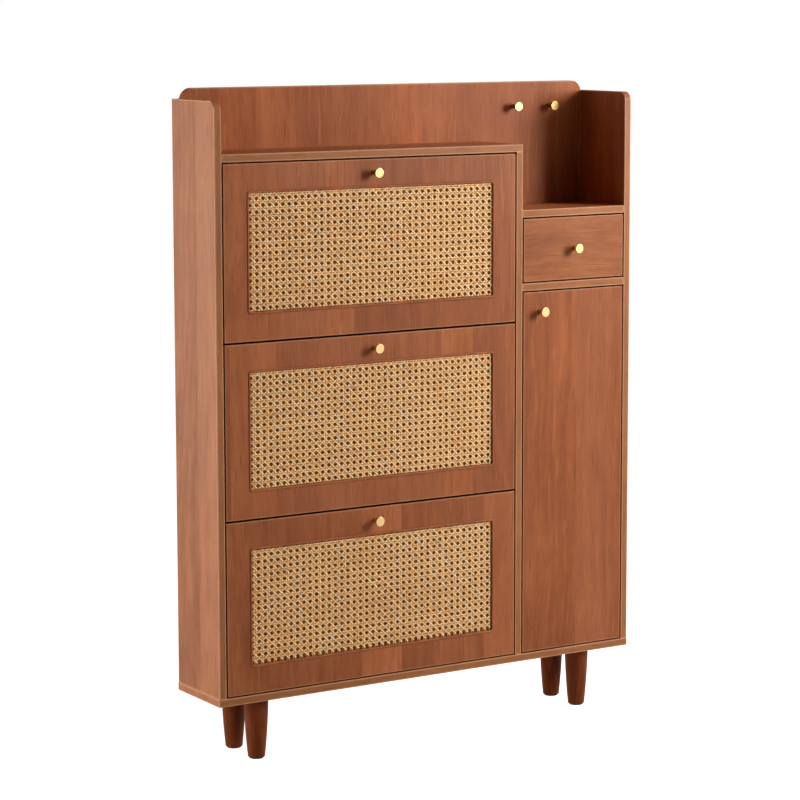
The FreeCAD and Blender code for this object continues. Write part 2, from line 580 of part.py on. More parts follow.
def bead_outline(inset, bottom, y_span, radius):
    """A rounded plate set in from the pocket's edge all round."""
    x_span = (FLIP_LEFT + CANE_MARGIN_X + inset, FLIP_RIGHT - CANE_MARGIN_X - inset)
    z_span = (bottom + CANE_MARGIN_Z + inset, bottom + FLIP_HEIGHT - CANE_MARGIN_Z - inset)
    return rounded_plate(x_span, z_span, y_span, radius)


def cane_bead(bottom):
    """The narrow half-round strip that stands on the pocket's floor and holds the cane."""
    y_front = FRONT_Y - BEAD_PROUD
    y_span = (y_front, FRONT_Y + POCKET_DEPTH)
    outer = bead_outline(BEAD_GAP, bottom, y_span, POCKET_RADIUS - BEAD_GAP)
    inner = bead_outline(BEAD_GAP + BEAD_WIDTH, bottom, y_span, POCKET_RADIUS - BEAD_GAP - BEAD_WIDTH)
    ring = outer.cut(inner)
    front_edges = [e for e in ring.Edges if abs(e.BoundBox.YMax - y_front) < 1e-6]
    return ring.makeFillet(BEAD_ROUND, front_edges)


def cane_panel(bottom):
    y_front = FRONT_Y + CANE_RECESS
    inset = BEAD_GAP + BEAD_WIDTH
    return bead_outline(inset, bottom, (y_front, y_front + CANE_THICKNESS), POCKET_RADIUS - inset)


def rack_side_plate(x_span, axis_z):
    """A plate behind the flip front: straight at the front, back and bottom, an arc on top.

    A curved slot about the pivot axis takes the stop pin.
    """
    x = x_span[0]
    front = FRONT_REAR_Y - MID_BOARD_Y
    corner_height = math.sqrt(RACK_RADIUS ** 2 - RACK_REACH ** 2)
    arc_middle = math.radians(76)

    def at(y, z):
        return Vec(x, MID_BOARD_Y + y, axis_z + z)

    top_front = at(front, math.sqrt(RACK_RADIUS ** 2 - front ** 2))
    top_rear = at(RACK_REACH, corner_height)
    arc = Part.Arc(top_front, at(RACK_RADIUS * math.cos(arc_middle), RACK_RADIUS * math.sin(arc_middle)),
                   top_rear).toShape()
    rest = Part.makePolygon([top_rear, at(RACK_REACH, -RACK_DROP), at(front, -RACK_DROP), top_front])
    plate = Part.Face(Part.Wire([arc] + rest.Edges)).extrude(AXIS_X * (x_span[1] - x))

    half_width = PIN_RADIUS + STOP_CLEARANCE
    angles = [math.radians(a) for a in (STOP_START_DEG - FLIP_OPEN_DEG, STOP_START_DEG)]

    def slot_arc(radius, a_from, a_to):
        steps = (a_from, (a_from + a_to) / 2, a_to)
        return Part.Arc(*[at(radius * math.cos(a), radius * math.sin(a)) for a in steps]).toShape()

    def slot_end(angle, outward_turn):
        inner, outer = STOP_RADIUS - half_width, STOP_RADIUS + half_width
        radial = (math.cos(angle), math.sin(angle))
        tangent = (-outward_turn * radial[1], outward_turn * radial[0])
        tip = at(STOP_RADIUS * radial[0] + half_width * tangent[0],
                 STOP_RADIUS * radial[1] + half_width * tangent[1])
        return Part.Arc(at(inner * radial[0], inner * radial[1]), tip,
                        at(outer * radial[0], outer * radial[1])).toShape()

    outline = [
        slot_arc(STOP_RADIUS + half_width, angles[0], angles[1]),
        slot_end(angles[1], 1),
        slot_arc(STOP_RADIUS - half_width, angles[1], angles[0]),
        slot_end(angles[0], -1),
    ]
    slot = Part.Face(Part.Wire(Part.sortEdges(outline)[0])).extrude(AXIS_X * (x_span[1] - x))
    return plate.cut(slot)


RACK_LEFT = INNER_LEFT + RACK_SIDE_GAP
RACK_RIGHT = DIVIDER_LEFT - RACK_SIDE_GAP
RACK_REAR_Y = MID_BOARD_Y + RACK_REACH


def rack_boards(axis_z):
    """Floor, rear board and upper rail, which join the two side plates."""
    x_span = (RACK_LEFT + RACK_BOARD, RACK_RIGHT - RACK_BOARD)
    floor_top = axis_z - RACK_DROP + RACK_BOARD
    rail_under = axis_z + RACK_RAIL_HEIGHT
    floor = board(x_span, (FRONT_REAR_Y, RACK_REAR_Y), (axis_z - RACK_DROP, floor_top))
    rear = board(x_span, (RACK_REAR_Y - RACK_BOARD, RACK_REAR_Y), (floor_top, axis_z + RACK_REAR_HEIGHT))
    rail = board(x_span, (RACK_REAR_Y - RACK_RAIL_DEPTH, RACK_REAR_Y), (rail_under, rail_under + RACK_BOARD))
    return Part.makeCompound([floor, rear, rail])


for flip, bottom, axis_z in zip(FLIP_NAMES, flip_bottoms, flip_axes):
    prefix = "flip_" + flip + "_"
    nodes[prefix + "front"] = flip_front(bottom)
    nodes[prefix + "bead"] = cane_bead(bottom)
    nodes[prefix + "cane"] = cane_panel(bottom)
    nodes[prefix + "knob"] = make_knob(FLIP_CENTRE_X, bottom + FLIP_HEIGHT - FLIP_KNOB_INSET,
                                       FRONT_Y, KNOB_REACH)
    nodes[prefix + "pivot_pins"] = Part.makeCompound([
        pivot_pin(Vec(FLIP_LEFT, MID_BOARD_Y, axis_z), -AXIS_X, SIDE_GAP),
        pivot_pin(Vec(FLIP_RIGHT, MID_BOARD_Y, axis_z), AXIS_X, SIDE_GAP),
    ])
    nodes[prefix + "rack_sides"] = Part.makeCompound([
        rack_side_plate((RACK_LEFT, RACK_LEFT + RACK_BOARD), axis_z),
        rack_side_plate((RACK_RIGHT - RACK_BOARD, RACK_RIGHT), axis_z),
    ])
    nodes[prefix + "rack_boards"] = rack_boards(axis_z)

# ---- drawer ----
BOX_LEFT = DIVIDER_RIGHT + DRAWER_SIDE_GAP
BOX_RIGHT = INNER_RIGHT - DRAWER_SIDE_GAP
BOX_BOTTOM = DRAWER_FRONT_BOTTOM + DRAWER_RISE
BOX_TOP = BOX_BOTTOM + DRAWER_HEIGHT
BOX_BACK = FRONT_REAR_Y + DRAWER_LENGTH
RUNNER_MID_Z = (BOX_BOTTOM + BOX_TOP) / 2
PANEL_UNDER = BOX_BOTTOM + DRAWER_BOTTOM_RISE
PANEL_SPAN_Z = (PANEL_UNDER, PANEL_UNDER + DRAWER_BOTTOM)
BOX_INNER = (BOX_LEFT + DRAWER_SIDE, BOX_RIGHT - DRAWER_SIDE)


def drawer_side(x_outer, x_inner):
    """A drawer side with an outer groove for the runner and an inner one for the bottom panel."""
    inward = 1 if x_inner > x_outer else -1
    solid = board(sorted((x_outer, x_inner)), (FRONT_REAR_Y, BOX_BACK), (BOX_BOTTOM, BOX_TOP))
    runner_half = RUNNER_HEIGHT / 2 + RUNNER_SLACK
    runner_groove = block(sorted((x_outer, x_outer + inward * (RUNNER_BITE + 2 * RUNNER_SLACK))),
                          (FRONT_REAR_Y, BOX_BACK), (RUNNER_MID_Z - runner_half, RUNNER_MID_Z + runner_half))
    bottom_groove = block(sorted((x_inner, x_inner - inward * DRAWER_BOTTOM_GROOVE)),
                          (FRONT_REAR_Y, BOX_BACK),
                          (PANEL_SPAN_Z[0] - PANEL_GROOVE_SLACK, PANEL_SPAN_Z[1] + PANEL_GROOVE_SLACK))
    return solid.cut(runner_groove).cut(bottom_groove)


def runner_strip(x_wall, inward):
    x_far = x_wall + inward * (DRAWER_SIDE_GAP + RUNNER_BITE)
    start_y = FRONT_Y + RUNNER_START
    return board(sorted((x_wall, x_far)), (start_y, start_y + RUNNER_LENGTH),
                 (RUNNER_MID_Z - RUNNER_HEIGHT / 2, RUNNER_MID_Z + RUNNER_HEIGHT / 2))


drawer_face = board((BAY_FRONT_LEFT, BAY_FRONT_RIGHT), (FRONT_Y, FRONT_REAR_Y),
                    (DRAWER_FRONT_BOTTOM, DRAWER_FRONT_TOP))
DRAWER_MID_Z = (DRAWER_FRONT_BOTTOM + DRAWER_FRONT_TOP) / 2
nodes["drawer_front"] = drawer_face.cut(knob_hole(BAY_CENTRE_X, DRAWER_MID_Z, FRONT_Y))
nodes["drawer_knob"] = make_knob(BAY_CENTRE_X, DRAWER_MID_Z, FRONT_Y, KNOB_REACH)
nodes["drawer_sides"] = Part.makeCompound([drawer_side(BOX_LEFT, BOX_INNER[0]),
                                           drawer_side(BOX_RIGHT, BOX_INNER[1])])
nodes["drawer_back"] = board(BOX_INNER, (BOX_BACK - DRAWER_SIDE, BOX_BACK),
                             (PANEL_SPAN_Z[1] + PANEL_GROOVE_SLACK, BOX_TOP))
groove_reach = DRAWER_BOTTOM_GROOVE - PANEL_GROOVE_SLACK
nodes["drawer_bottom"] = block((BOX_INNER[0] - groove_reach, BOX_INNER[1] + groove_reach),
                               (FRONT_REAR_Y, BOX_BACK), PANEL_SPAN_Z)
nodes["drawer_runners"] = Part.makeCompound([runner_strip(DIVIDER_RIGHT, 1), runner_strip(INNER_RIGHT, -1)])

# ---- door ----
STRIKE_X = (BAY_FRONT_LEFT + DOOR_KNOB_INSET - STRIKE_SIZE[0] / 2,
            BAY_FRONT_LEFT + DOOR_KNOB_INSET + STRIKE_SIZE[0] / 2)
STRIKE_Z = (DOOR_TOP - STRIKE_SIZE[1] - 2, DOOR_TOP - 2)
STRIKE_Y = (FRONT_REAR_Y - STRIKE_EMBED, FRONT_REAR_Y - STRIKE_EMBED + STRIKE_THICKNESS)
strike = block(STRIKE_X, STRIKE_Y, STRIKE_Z)
door_face = board((BAY_FRONT_LEFT, BAY_FRONT_RIGHT), (FRONT_Y, FRONT_REAR_Y), (DOOR_BOTTOM, DOOR_TOP))
DOOR_KNOB_X = BAY_FRONT_LEFT + DOOR_KNOB_INSET
DOOR_KNOB_Z = DOOR_TOP - DOOR_KNOB_INSET
nodes["door_panel"] = cut_all(door_face, [
    knob_hole(DOOR_KNOB_X, DOOR_KNOB_Z, FRONT_Y),
    pin_hole(Vec(DOOR_AXIS_X, MID_BOARD_Y, DOOR_BOTTOM), AXIS_Z),
    pin_hole(Vec(DOOR_AXIS_X, MID_BOARD_Y, DOOR_TOP), -AXIS_Z),
    strike,
])
nodes["door_strike_plate"] = strike
nodes["door_knob"] = make_knob(DOOR_KNOB_X, DOOR_KNOB_Z, FRONT_Y, KNOB_REACH)
nodes["door_pivot_pins"] = Part.makeCompound([
    pivot_pin(Vec(DOOR_AXIS_X, MID_BOARD_Y, DOOR_BOTTOM), -AXIS_Z, END_GAP),
    pivot_pin(Vec(DOOR_AXIS_X, MID_BOARD_Y, DOOR_TOP), AXIS_Z, END_GAP),
])
catch_y = FRONT_REAR_Y + CATCH_GAP
nodes["door_magnetic_catch"] = board(
    (DOOR_KNOB_X - CATCH_SIZE[0] / 2, DOOR_KNOB_X + CATCH_SIZE[0] / 2),
    (catch_y, catch_y + CATCH_SIZE[1]), (DRAWER_SHELF_UNDER - CATCH_SIZE[2], DRAWER_SHELF_UNDER))

# ---- write one file per node ----
os.makedirs("parts", exist_ok=True)
for name, shape in nodes.items():
    if not shape.isValid():
        raise ValueError(name + " is not a valid solid")
    shape.exportStep("parts/" + name + ".step")
print(len(nodes), "nodes written")
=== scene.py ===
import math
import random

import bpy
import numpy as np
from mathutils import Matrix, Vector


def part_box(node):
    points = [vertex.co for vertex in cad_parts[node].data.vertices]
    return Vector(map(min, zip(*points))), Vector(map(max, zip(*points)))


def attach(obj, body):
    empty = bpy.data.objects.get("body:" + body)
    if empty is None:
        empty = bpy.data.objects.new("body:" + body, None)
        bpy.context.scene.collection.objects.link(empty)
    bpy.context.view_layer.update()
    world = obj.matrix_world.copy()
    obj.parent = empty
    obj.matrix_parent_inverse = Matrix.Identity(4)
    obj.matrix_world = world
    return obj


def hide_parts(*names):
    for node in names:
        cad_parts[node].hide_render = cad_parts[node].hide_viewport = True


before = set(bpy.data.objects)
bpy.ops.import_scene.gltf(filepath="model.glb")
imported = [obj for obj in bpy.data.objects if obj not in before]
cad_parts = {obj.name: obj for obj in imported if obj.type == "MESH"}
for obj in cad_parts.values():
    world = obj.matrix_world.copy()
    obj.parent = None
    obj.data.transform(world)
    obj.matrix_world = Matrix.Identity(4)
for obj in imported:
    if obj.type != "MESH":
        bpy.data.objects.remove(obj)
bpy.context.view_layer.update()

MM = 0.001

# ---- camera ----
CAMERA_PLACE = (-2.8761, -4.5308, 1.4409)
CAMERA_YAW = 0.5611
CAMERA_PITCH = 0.1255
CAMERA_ROLL = -0.0019
CAMERA_LENS = 122.77
CAMERA_SHIFT_Y = -0.0625
CAMERA_SENSOR = 36


def make_camera():
    """A long lens in front of the cabinet, to its left and a little above its top."""
    ahead = Vector((math.sin(CAMERA_YAW) * math.cos(CAMERA_PITCH),
                    math.cos(CAMERA_YAW) * math.cos(CAMERA_PITCH),
                    -math.sin(CAMERA_PITCH)))
    level_right = Vector((math.cos(CAMERA_YAW), -math.sin(CAMERA_YAW), 0))
    level_up = level_right.cross(ahead)
    right = level_right * math.cos(CAMERA_ROLL) + level_up * math.sin(CAMERA_ROLL)
    up = level_up * math.cos(CAMERA_ROLL) - level_right * math.sin(CAMERA_ROLL)
    data = bpy.data.cameras.new("camera")
    data.lens = CAMERA_LENS
    data.sensor_width = CAMERA_SENSOR
    data.shift_y = CAMERA_SHIFT_Y
    camera = bpy.data.objects.new("camera", data)
    turn = Matrix((right, up, -ahead)).transposed().to_4x4()
    camera.matrix_world = Matrix.Translation(CAMERA_PLACE) @ turn
    bpy.context.scene.collection.objects.link(camera)
    bpy.context.scene.camera = camera


# ---- light and floor ----
FILL_COLOUR = (1.0, 0.69, 0.42, 1)
FILL_FROM_FRONT, FILL_FROM_REAR = 0.08, 0.27
FLOOR_HALF = 30.0
FLOOR_SINK = 0.2 * MM
FLOOR_GLOW_SEEN = 0.96
FLOOR_GLOW_MIRRORED = 0.5


def area_light(name, direction, distance, size, power, colour, target=(0, 0, 0.7)):
    """A soft rectangular lamp at a distance from the target, in the direction given."""
    data = bpy.data.lights.new(name, "AREA")
    data.shape = "RECTANGLE"
    data.size, data.size_y = size
    data.energy = power
    data.color = colour
    lamp = bpy.data.objects.new(name, data)
    towards = Vector(direction).normalized()
    lamp.location = Vector(target) + towards * distance
    lamp.rotation_euler = towards.to_track_quat("Z", "Y").to_euler()
    bpy.context.scene.collection.objects.link(lamp)


def make_studio():
    """A key from the right, lamps above and at both sides, a card that the knobs mirror, and a fill."""
    area_light("key_light", (0.66, -0.72, 0.32), 2.5, (0.8, 1.0), 73, (1.0, 0.97, 0.93), (0.22, 0, 0.9))
    area_light("top_light", (0.53, -0.08, 0.84), 2.6, (1.4, 0.8), 14, (1.0, 0.97, 0.94), (0, 0, 0.9))
    area_light("left_light", (-1.0, 0.22, 0.04), 3.6, (1.4, 1.9), 94, (1.0, 0.98, 0.98))
    area_light("left_sheen", (-0.6, 0.8, 0.05), 4.0, (2.0, 2.5), 30, (1.0, 0.97, 0.98))
    area_light("right_card", (0.95, -0.30, 0.05), 3.5, (0.8, 1.6), 10, (1.0, 0.98, 0.96))
    area_light("knob_card", (0.53, -0.84, -0.10), 4.0, (2.0, 2.0), 14.5, (1.0, 0.98, 0.94))
    world = bpy.data.worlds.new("studio")
    world.use_nodes = True
    tree = world.node_tree
    tree.nodes.clear()
    direction = tree.nodes.new("ShaderNodeTexCoord")
    parts = tree.nodes.new("ShaderNodeSeparateXYZ")
    sweep = tree.nodes.new("ShaderNodeMapRange")
    sweep.inputs["From Min"].default_value = -0.6
    sweep.inputs["From Max"].default_value = 0.8
    sweep.inputs["To Min"].default_value = FILL_FROM_FRONT
    sweep.inputs["To Max"].default_value = FILL_FROM_REAR
    fill = tree.nodes.new("ShaderNodeBackground")
    fill.inputs["Color"].default_value = FILL_COLOUR
    seen = tree.nodes.new("ShaderNodeBackground")
    seen.inputs["Color"].default_value = (1, 1, 1, 1)
    path = tree.nodes.new("ShaderNodeLightPath")
    choose = tree.nodes.new("ShaderNodeMixShader")
    output = tree.nodes.new("ShaderNodeOutputWorld")
    tree.links.new(direction.outputs["Generated"], parts.inputs[0])
    tree.links.new(parts.outputs[1], sweep.inputs["Value"])
    tree.links.new(sweep.outputs[0], fill.inputs["Strength"])
    tree.links.new(path.outputs["Is Camera Ray"], choose.inputs[0])
    tree.links.new(fill.outputs[0], choose.inputs[1])
    tree.links.new(seen.outputs[0], choose.inputs[2])
    tree.links.new(choose.outputs[0], output.inputs["Surface"])
    bpy.context.scene.world = world


def make_floor():
    half = FLOOR_HALF
    mesh = bpy.data.meshes.new("floor")
    corners = [(-half, -half, 0), (half, -half, 0), (half, half, 0), (-half, half, 0)]
    mesh.from_pydata(corners, [], [(0, 1, 2, 3)])
    floor = bpy.data.objects.new("floor", mesh)
    floor.location.z = -FLOOR_SINK
    bpy.context.scene.collection.objects.link(floor)
    g = Graph("floor_paper")
    speckle = g.noise(g.object_coords(), 40, detail=3)
    colour = g.ramp(speckle, [(0.3, (0.53, 0.53, 0.53)), (0.7, (0.55, 0.55, 0.55))])
    shader = g.surface(colour, roughness=0.9, specular=0.1)
    shader.inputs["Emission Color"].default_value = (1, 1, 1, 1)
    path = g.add("LightPath").outputs
    glow = g.math("ADD", g.math("MULTIPLY", path["Is Camera Ray"], FLOOR_GLOW_SEEN),
                  g.math("MULTIPLY", path["Is Glossy Ray"], FLOOR_GLOW_MIRRORED))
    g.tree.links.new(glow, shader.inputs["Emission Strength"])
    floor.data.materials.append(g.material)


# ---- material graphs ----
class Graph:
    """A material's node tree, with short calls for the nodes used here."""

    def __init__(self, name):
        self.material = bpy.data.materials.new(name)
        self.material.use_nodes = True
        self.tree = self.material.node_tree
        self.tree.nodes.clear()

    def add(self, kind, values=None, **settings):
        node = self.tree.nodes.new("ShaderNode" + kind)
        for key, value in settings.items():
            setattr(node, key, value)
        for socket, value in (values or {}).items():
            if isinstance(value, bpy.types.NodeSocket):
                self.tree.links.new(value, node.inputs[socket])
            else:
                node.inputs[socket].default_value = value
        return node

    def object_coords(self):
        return self.add("TexCoord").outputs["Object"]

    def mapping(self, vector, location=(0, 0, 0), rotation=(0, 0, 0), scale=(1, 1, 1)):
        values = {"Vector": vector, "Location": location, "Rotation": rotation, "Scale": scale}
        return self.add("Mapping", values).outputs[0]

    def noise(self, vector, scale, detail=2.0, roughness=0.5, colour=False):
        values = {"Vector": vector, "Scale": scale, "Detail": detail, "Roughness": roughness}
        return self.add("TexNoise", values).outputs[1 if colour else 0]

    def math(self, operation, a, b=0.0, clamp=False):
        return self.add("Math", {0: a, 1: b}, operation=operation, use_clamp=clamp).outputs[0]

    def vector_math(self, operation, a, b):
        return self.add("VectorMath", {0: a, 1: b}, operation=operation).outputs[0]

    def ramp(self, factor, stops):
        """Colours, or grey levels, at places from 0 to 1."""
        node = self.add("ValToRGB", {"Fac": factor})
        elements = node.color_ramp.elements
        while len(elements) < len(stops):
            elements.new(0.5)
        for element, (place, colour) in zip(elements, stops):
            element.position = place
            element.color = (*(colour if isinstance(colour, tuple) else (colour,) * 3), 1)
        return node.outputs[0]

    def mix(self, factor, a, b, blend="MIX"):
        return self.add("Mix", {0: factor, 6: a, 7: b}, data_type="RGBA", blend_type=blend).outputs[2]

    def bump(self, height, strength, distance):
        return self.add("Bump", {"Height": height, "Strength": strength, "Distance": distance}).outputs[0]

    def surface(self, colour, roughness=0.5, normal=None, metallic=0.0, specular=0.5):
        values = {"Base Color": colour, "Roughness": roughness, "Metallic": metallic,
                  "Specular IOR Level": specular}
        if normal is not None:
            values["Normal"] = normal
        shader = self.add("BsdfPrincipled", values)
        output = self.add("OutputMaterial")
        self.tree.links.new(shader.outputs[0], output.inputs["Surface"])
        return shader

    def edge_mask(self, corners, width):
        """1 on a box's edges, falling to 0 at the given width from them."""
        low, high = (tuple(c) for c in corners)
        place = self.object_coords()
        inside = self.vector_math("MINIMUM", self.vector_math("SUBTRACT", place, low),
                                  self.vector_math("SUBTRACT", high, place))
        parts = self.add("SeparateXYZ", {0: inside}).outputs
        lesser = self.math("MINIMUM", parts[0], parts[1])
        greater = self.math("MAXIMUM", parts[0], parts[1])
        second = self.math("MAXIMUM", lesser, self.math("MINIMUM", greater, parts[2]))
        ragged = self.math("MULTIPLY", self.noise(place, 160, detail=3), width)
        reach = self.math("DIVIDE", second, self.math("ADD", ragged, width * 0.5))
        return self.math("SUBTRACT", 1.0, reach, clamp=True)


WALNUT = ((0.222, 0.062, 0.020), (0.310, 0.093, 0.031), (0.372, 0.116, 0.040), (0.455, 0.155, 0.058))
WALNUT_EDGE = ((0.210, 0.075, 0.027), (0.275, 0.102, 0.038), (0.325, 0.126, 0.049), (0.385, 0.156, 0.064))
DARK_WALNUT = ((0.085, 0.016, 0.003), (0.138, 0.030, 0.006), (0.182, 0.044, 0.011), (0.238, 0.064, 0.018))
# a paler copy of walnut for the drawer front: painted sheen
WALNUT_PAINTED_SHEEN = tuple(tuple(c * gain for c, gain in zip(tone, (1.00, 1.10, 1.15))) for tone in WALNUT)
# a redder copy of walnut for the upper back board: painted warm bounce light, for the saturated shade of the
# niche
WALNUT_PAINTED_WARM_SHADE = tuple(tuple(c * gain for c, gain in zip(tone, (1.09, 1.05, 0.97))) for tone in WALNUT)
HARDBOARD = ((0.20, 0.080, 0.038), (0.26, 0.105, 0.050), (0.30, 0.125, 0.062), (0.34, 0.145, 0.075))
BEECH = ((0.42, 0.27, 0.15), (0.52, 0.35, 0.20), (0.60, 0.42, 0.26), (0.66, 0.48, 0.31))
TONE_PLACES = (0.22, 0.44, 0.58, 0.80)
PLUM = (0.240, 0.080, 0.040, 1)          # the cooler brown of some planks
# painted shade: the darker brown of the pocket floor, seen through the cane's holes
POCKET_SHADE = (0.200, 0.062, 0.006)
POCKET_FLECK = (0.560, 0.230, 0.045)
CANE_TONES = ((0.50, 0.21, 0.055), (1.00, 0.60, 0.25), (1.0, 0.90, 0.58))
CANE_PLACES = (0.12, 0.45, 0.75)
KNOB_TONES = ((0.60, 0.39, 0.15), (0.78, 0.59, 0.30))
# a darker copy of the knobs' brass for the coat hooks: painted shade that keeps their reflection of the key
# light from blowing out
HOOK_TONES_PAINTED_SHADE = ((0.42, 0.25, 0.08), (0.54, 0.37, 0.16))
GAP_SHADE = (0.012, 0.005, 0.003, 1)    # painted shade on the edges of inset boards, which the gaps show
RUBBED_AND_HIGHLIGHT = (0.780, 0.430, 0.240, 1)        # bare arrises, and a painted highlight along them
PAINTED_SHEEN_GAIN = (1.10, 1.36, 1.60, 1)            # painted sheen: multiplies the tones of outer side faces to make them paler

# wood figure: noise scale per metre, stretch along the grain, and weight in the tone
PLANK_SCALE, PLANK_WEIGHT = 11.0, 0.28
WAVER_SCALE, WAVER_STRETCH, WAVER_REACH = 5, 0.3, 0.08
STRIPE_SCALE, STRIPE_STRETCH, STRIPE_WEIGHT = 34, 0.05, 0.38
CLOUD_SCALE, CLOUD_STRETCH, CLOUD_WEIGHT = 18, 0.45, 0.62
CONTOUR_SCALE, CONTOUR_STRETCH, CONTOUR_LINES, FIGURE_WEIGHT = 9, 0.10, 60, 0.040
FIBRE_SCALE, FIBRE_STRETCH, FIBRE_WEIGHT = 520, 0.05, 0.26
STREAK_SCALE, STREAK_STRETCH, STREAK_COVER = 190, 0.04, 0.30
PORE_SCALE, PORE_STRETCH, PORE_COVER = 430, 0.03, 0.35
PLUM_COVER = 0.4
# lighter board edges: partly rubbed wear, partly a painted highlight on the arrises
WEAR_AND_HIGHLIGHT_WIDTH = 3.0 * MM
WEAR_AND_HIGHLIGHT_COVER = 0.62
WEAR_AND_HIGHLIGHT_COVER_INSET = 0.35
# painted shade on the edges of inset boards, from just behind their front faces
GAP_SHADE_BEHIND_FACE = 1.2 * MM
GAP_SHADE_COVER = 0.85
POCKET_REACH = 0.4 * MM                  # either side of the pocket floor's plane
FIBRE_GLOSS = 0.14
FIBRE_BUMP = 0.1 * MM
WOOD_GLOSS, BACK_GLOSS, LEG_GLOSS = 0.16, 0.10, 0.08


def wood(name, seed, colours, grain="z", corners=None, edge_colours=None, roughness=0.42, pocket_y=None,
         specular=WOOD_GLOSS, inset=False, outer_x=None):
    """Wood-grain laminate printed as joined planks whose grain runs along one axis.

    Where corners are given, the edges of that box are lighter: partly rubbed wear, partly a painted
    highlight along the arrises. edge_colours gives the narrow front edge bands a tone of their own. A face
    at pocket_y, the floor behind the cane, is darker, a painted shade, with lighter flecks. The edges of an
    inset board are darker from just behind its front face, a painted shade for the gaps around it. A face
    further out than outer_x to either side is paler, a painted sheen.
    """
    g = Graph(name)
    turn = {"z": (0, 0, 0), "x": (0, math.pi / 2, 0), "y": (math.pi / 2, 0, 0)}[grain]
    placed = g.mapping(g.object_coords(), location=(seed * 1.37, seed * 0.73, seed * 2.11), rotation=turn)
    axes = g.add("SeparateXYZ", {0: placed}).outputs
    across = g.math("ADD", axes[0], axes[1])
    plank = g.add("TexVoronoi", {"W": across, "Scale": PLANK_SCALE, "Randomness": 0.8},
                  voronoi_dimensions="1D").outputs["Color"]
    plank_parts = g.add("SeparateXYZ", {0: plank}).outputs
    own_grain = g.vector_math("ADD", placed, plank)
    waver = g.noise(g.mapping(own_grain, scale=(1, 1, WAVER_STRETCH)), WAVER_SCALE, detail=2, colour=True)
    shift = g.vector_math("MULTIPLY", g.vector_math("SUBTRACT", waver, (0.5, 0.5, 0.5)),
                          (WAVER_REACH, WAVER_REACH, 0.0))
    warped = g.vector_math("ADD", own_grain, shift)

    def along_grain(stretch):
        return g.mapping(warped, scale=(1, 1, stretch))

    stripes = g.noise(along_grain(STRIPE_STRETCH), STRIPE_SCALE, detail=3, roughness=0.55)
    contours = g.noise(along_grain(CONTOUR_STRETCH), CONTOUR_SCALE, detail=1)
    figure = g.math("SINE", g.math("MULTIPLY", contours, CONTOUR_LINES))
    fibres = g.noise(along_grain(FIBRE_STRETCH), FIBRE_SCALE, detail=2, roughness=0.6)
    clouds = g.noise(along_grain(CLOUD_STRETCH), CLOUD_SCALE, detail=4, roughness=0.65)
    tone = g.math("MULTIPLY", figure, FIGURE_WEIGHT)
    patterns = ((stripes, STRIPE_WEIGHT), (clouds, CLOUD_WEIGHT), (plank_parts[0], PLANK_WEIGHT),
                (fibres, FIBRE_WEIGHT))
    for pattern, weight in patterns:
        tone = g.math("ADD", tone, g.math("MULTIPLY", g.math("SUBTRACT", pattern, 0.5), weight))
    tone = g.math("ADD", tone, 0.5)
    colour = g.ramp(tone, list(zip(TONE_PLACES, colours)))
    if colours in (WALNUT, WALNUT_PAINTED_WARM_SHADE):
        colour = g.mix(g.math("MULTIPLY", plank_parts[1], PLUM_COVER), colour, PLUM)
    normals = g.add("SeparateXYZ", {0: g.add("TexCoord").outputs["Normal"]}).outputs
    facing = g.math("ABSOLUTE", normals[1])
    here = g.add("SeparateXYZ", {0: g.object_coords()}).outputs
    if edge_colours:
        band = g.math("GREATER_THAN", facing, 0.8)
        colour = g.mix(band, colour, g.ramp(tone, list(zip(TONE_PLACES, edge_colours))))
    # painted sheen: faces further out than outer_x are made paler
    if outer_x is not None:
        sheened_side = g.math("GREATER_THAN", g.math("ABSOLUTE", here[0]), outer_x)
        colour = g.mix(sheened_side, colour, g.mix(1.0, colour, PAINTED_SHEEN_GAIN, "MULTIPLY"))
    streaks = g.noise(along_grain(STREAK_STRETCH), STREAK_SCALE, detail=2)
    tan = (*[min(1.0, c * 1.22) for c in colours[3]], 1)
    colour = g.mix(g.ramp(streaks, [(0.60, 0.0), (0.72, STREAK_COVER)]), colour, tan)
    pores = g.noise(along_grain(PORE_STRETCH), PORE_SCALE, detail=0)
    dark = (*[c * 0.6 for c in colours[0]], 1)
    colour = g.mix(g.ramp(pores, [(0.66, 0.0), (0.76, PORE_COVER)]), colour, dark)
    # the box's edges are lightened, partly as rubbed wear and partly as a painted highlight on the arrises
    if corners:
        wear_and_highlight = g.edge_mask(corners, WEAR_AND_HIGHLIGHT_WIDTH)
        cover = WEAR_AND_HIGHLIGHT_COVER_INSET if inset else WEAR_AND_HIGHLIGHT_COVER
        colour = g.mix(g.math("MULTIPLY", wear_and_highlight, cover), colour, RUBBED_AND_HIGHLIGHT)
    # painted shade: an inset board's edges are darkened from just behind its front face, standing for the
    # shade in the gaps around it
    if inset:
        behind = g.math("GREATER_THAN", here[1], corners[0].y + GAP_SHADE_BEHIND_FACE)
        gap_shaded_edge = g.math("MULTIPLY", behind, g.math("LESS_THAN", facing, 0.3))
        colour = g.mix(g.math("MULTIPLY", gap_shaded_edge, GAP_SHADE_COVER), colour, GAP_SHADE)
    # painted shade: the pocket floor behind the cane is made darker, with lighter flecks
    if pocket_y is not None:
        floor = g.math("COMPARE", here[1], pocket_y)
        floor.node.inputs[2].default_value = POCKET_REACH
        flecks = g.noise(g.object_coords(), 420, detail=1)
        colour = g.mix(floor, colour, g.ramp(flecks, [(0.42, POCKET_SHADE), (0.62, POCKET_FLECK)]))
    gloss = g.math("ADD", g.math("MULTIPLY", fibres, FIBRE_GLOSS), roughness - FIBRE_GLOSS / 2)
    normal = g.bump(fibres, 0.3, FIBRE_BUMP)
    g.surface(colour, roughness=gloss, normal=normal, specular=specular)
    return g.material


